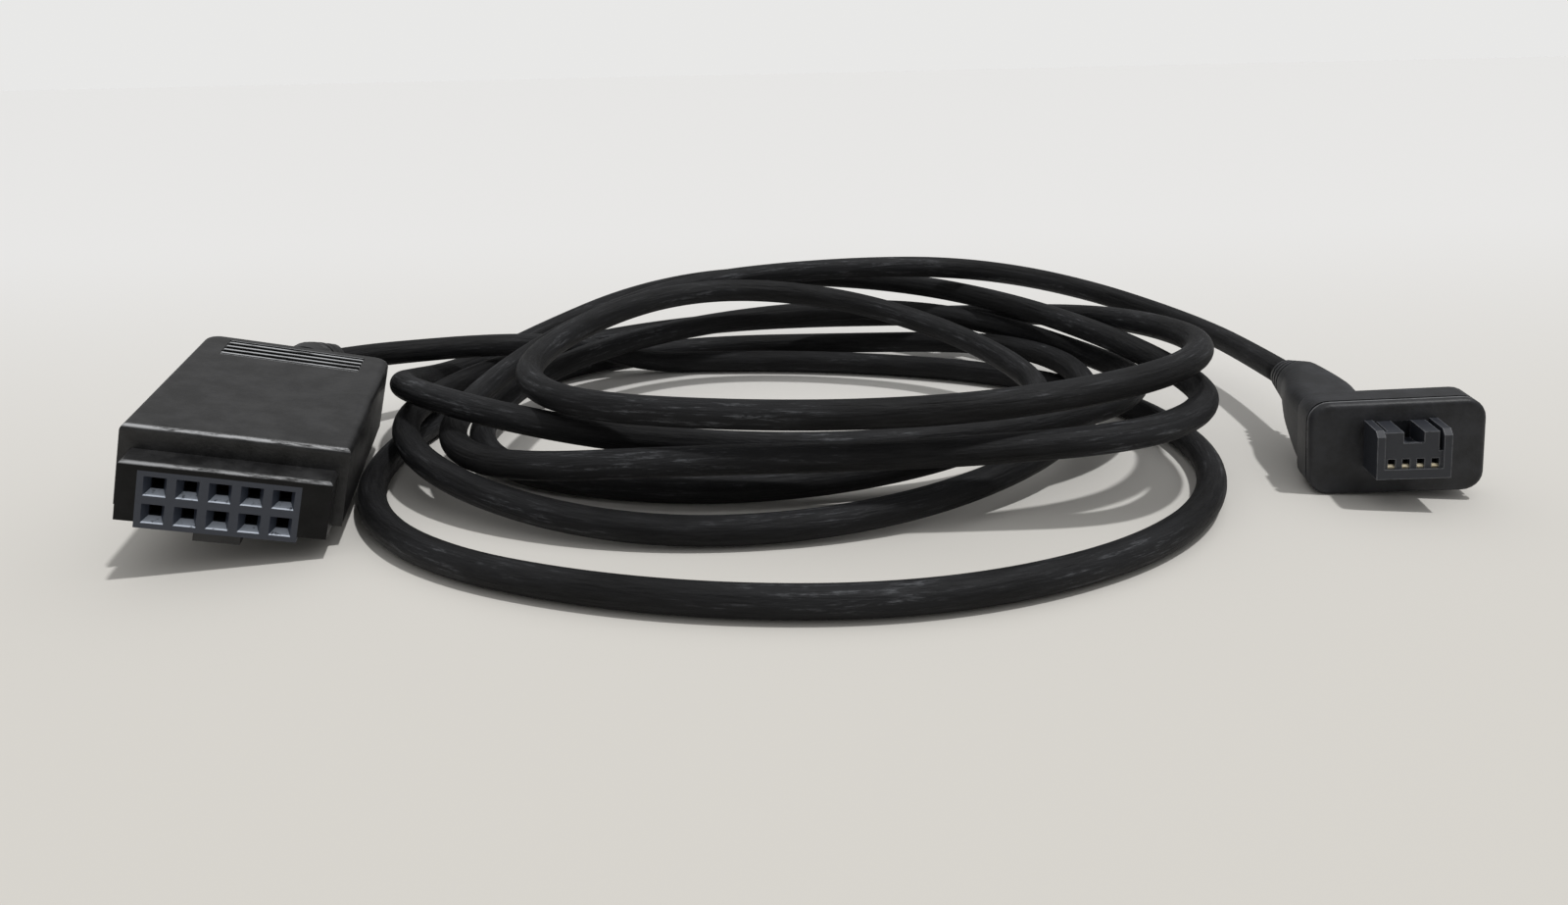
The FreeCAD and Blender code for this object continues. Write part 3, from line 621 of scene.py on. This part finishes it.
def plug_paint():
    """Satin soft moulding; painted highlight along the top of the parting groove, dust and painted
    highlight on the edges.
    """
    paint = Paint("plug_moulding", roughness=0.45, specular=0.35)
    place = paint.local_mm(PLUG_AT, PLUG_TURN)
    _, y, z = paint.split(place)
    grain = paint.noise(place, 2.8, 4.0, 0.6)
    patches = paint.noise(place, 0.35, 4.0, 0.6)
    streaks = paint.noise(place, (0.6, 2.4, 2.4), 4.0, 0.65)
    base = paint.mix(paint.ramp(patches, 0.3, 0.7), PLUG_DARK, PLUG_PALE)
    # painted highlight: a pale line along the front of the parting groove, on the top half only
    seam_highlight = paint.both(paint.within(y, SEAM_BACK - 0.20, SEAM_BACK + 0.06),
                        paint.ramp(streaks, 0.30, 0.52))
    seam_highlight = paint.both(seam_highlight, paint.math("GREATER_THAN", z, 0.0))
    # dust and painted highlight: edges are paled where the surface turns sharply
    rim_dust_and_highlight = paint.both(paint.edges(0.35, 0.06, 0.30), paint.ramp(streaks, 0.40, 0.66))
    base = paint.mix(rim_dust_and_highlight, base, PLUG_RIM_DUST_AND_HIGHLIGHT)
    paint.colour(paint.mix(seam_highlight, base, PLUG_SEAM_HIGHLIGHT))
    paint.vary("Roughness", patches, 0.40, 0.62)
    paint.bump(grain, 0.02, paint.bump(patches, 0.08))
    return paint.material


def nose_paint():
    """Blue-grey hard plastic with pale worn edges."""
    paint = Paint("nose_plastic", roughness=0.42, specular=0.4)
    place = paint.local_mm(PLUG_AT, PLUG_TURN)
    grain = paint.noise(place, 2.5, 4.0)
    streaks = paint.noise(place, 1.6, 4.0, 0.65)
    base = paint.mix(grain, NOSE_DARK, NOSE_PALE)
    worn = paint.both(paint.edges(0.16, 0.04, 0.20), paint.ramp(streaks, 0.24, 0.48))
    paint.colour(paint.mix(worn, base, NOSE_WORN))
    paint.vary("Roughness", grain, 0.36, 0.54)
    paint.bump(grain, 0.012)
    return paint.material


def contact_paint(name, dull, bright):
    """Gilt metal, mottled between two tones."""
    paint = Paint(name, roughness=0.3, metallic=1.0)
    grain = paint.noise(paint.object_mm(), 4.0, 2.0)
    paint.colour(paint.mix(grain, dull, bright))
    paint.vary("Roughness", grain, 0.25, 0.4)
    return paint.material


def dress(prefix, material):
    """Paints the CAD nodes whose names start alike."""
    for name, node in nodes.items():
        if name.startswith(prefix):
            for slot in node.material_slots:
                slot.material = material


# Floor, lights and world
FLOOR_REACH = 1500.0
FLOOR_NEAR, FLOOR_FAR = -60.0, 160.0      # painted shade: the tone darkens from the far one to the near one
FLOOR_TONE_NEAR = (0.60, 0.58, 0.54)
FLOOR_TONE_FAR = (0.72, 0.715, 0.705)
BACKDROP_TONE = (0.81, 0.808, 0.80)
FILL_TONE = (1.0, 1.0, 1.0)
WALL_LIGHT = 0.22
CEILING_LIGHT = 0.75
SUN_POWER = 1.80
SUN_WIDTH = 3.0                           # in degrees
SUN_FROM = (0.30, -0.08, 1.0)


def add_floor():
    half = FLOOR_REACH * MM
    mesh = bpy.data.meshes.new("floor")
    corners = [(-half, -half, 0), (half, -half, 0), (half, half, 0), (-half, half, 0)]
    mesh.from_pydata(corners, [], [(0, 1, 2, 3)])
    floor = bpy.data.objects.new("floor", mesh)
    bpy.context.scene.collection.objects.link(floor)
    paint = Paint("floor", roughness=0.8, specular=0.2)
    _, y, _ = paint.split(paint.object_mm())
    # painted shade: the floor is darker near the camera and paler far off
    paint.colour(paint.mix(paint.ramp(y, FLOOR_NEAR, FLOOR_FAR), FLOOR_TONE_NEAR, FLOOR_TONE_FAR))
    mesh.materials.append(paint.material)


def add_sun():
    data = bpy.data.lights.new("key", "SUN")
    data.energy = SUN_POWER
    data.angle = math.radians(SUN_WIDTH)
    lamp = bpy.data.objects.new("key", data)
    lamp.rotation_euler = Vector(SUN_FROM).to_track_quat("Z", "Y").to_euler()
    bpy.context.scene.collection.objects.link(lamp)


def add_world():
    """An even pale room with a brighter ceiling; the camera sees it as a plain backdrop."""
    world = bpy.data.worlds.new("world")
    world.use_nodes = True
    bpy.context.scene.world = world
    tree = world.node_tree
    tree.nodes.clear()
    output = tree.nodes.new("ShaderNodeOutputWorld")
    seen = tree.nodes.new("ShaderNodeBackground")
    seen.inputs["Color"].default_value = (*BACKDROP_TONE, 1)
    seen.inputs["Strength"].default_value = 1.0
    texture = tree.nodes.new("ShaderNodeTexCoord")
    split = tree.nodes.new("ShaderNodeSeparateXYZ")
    tree.links.new(texture.outputs["Generated"], split.inputs[0])
    height = tree.nodes.new("ShaderNodeMapRange")
    height.interpolation_type = "SMOOTHSTEP"
    height.inputs["To Min"].default_value = WALL_LIGHT
    height.inputs["To Max"].default_value = CEILING_LIGHT
    tree.links.new(split.outputs[2], height.inputs["Value"])
    fill = tree.nodes.new("ShaderNodeBackground")
    fill.inputs["Color"].default_value = (*FILL_TONE, 1)
    tree.links.new(height.outputs[0], fill.inputs["Strength"])
    path = tree.nodes.new("ShaderNodeLightPath")
    choice = tree.nodes.new("ShaderNodeMixShader")
    tree.links.new(path.outputs["Is Camera Ray"], choice.inputs[0])
    tree.links.new(fill.outputs[0], choice.inputs[1])
    tree.links.new(seen.outputs[0], choice.inputs[2])
    tree.links.new(choice.outputs[0], output.inputs["Surface"])


bpy.context.scene.view_settings.view_transform = "Standard"
add_camera()
cable, cable_line = add_cable()
cable.data.materials.append(cable_paint())
plug_body = add_plug_body()
plug_body.data.materials.append(plug_paint())
sleeve = add_boot(cable_line)
hood_material = hood_paint()
sleeve.data.materials.append(hood_material)
dress("host_hood", hood_material)
dress("host_socket_block", block_paint())
dress("gauge_nose", nose_paint())
dress("host_contact", contact_paint("socket_gilt", *SOCKET_GILT))
dress("gauge_contact", contact_paint("blade_gilt", *BLADE_GILT))
add_floor()
add_sun()
add_world()
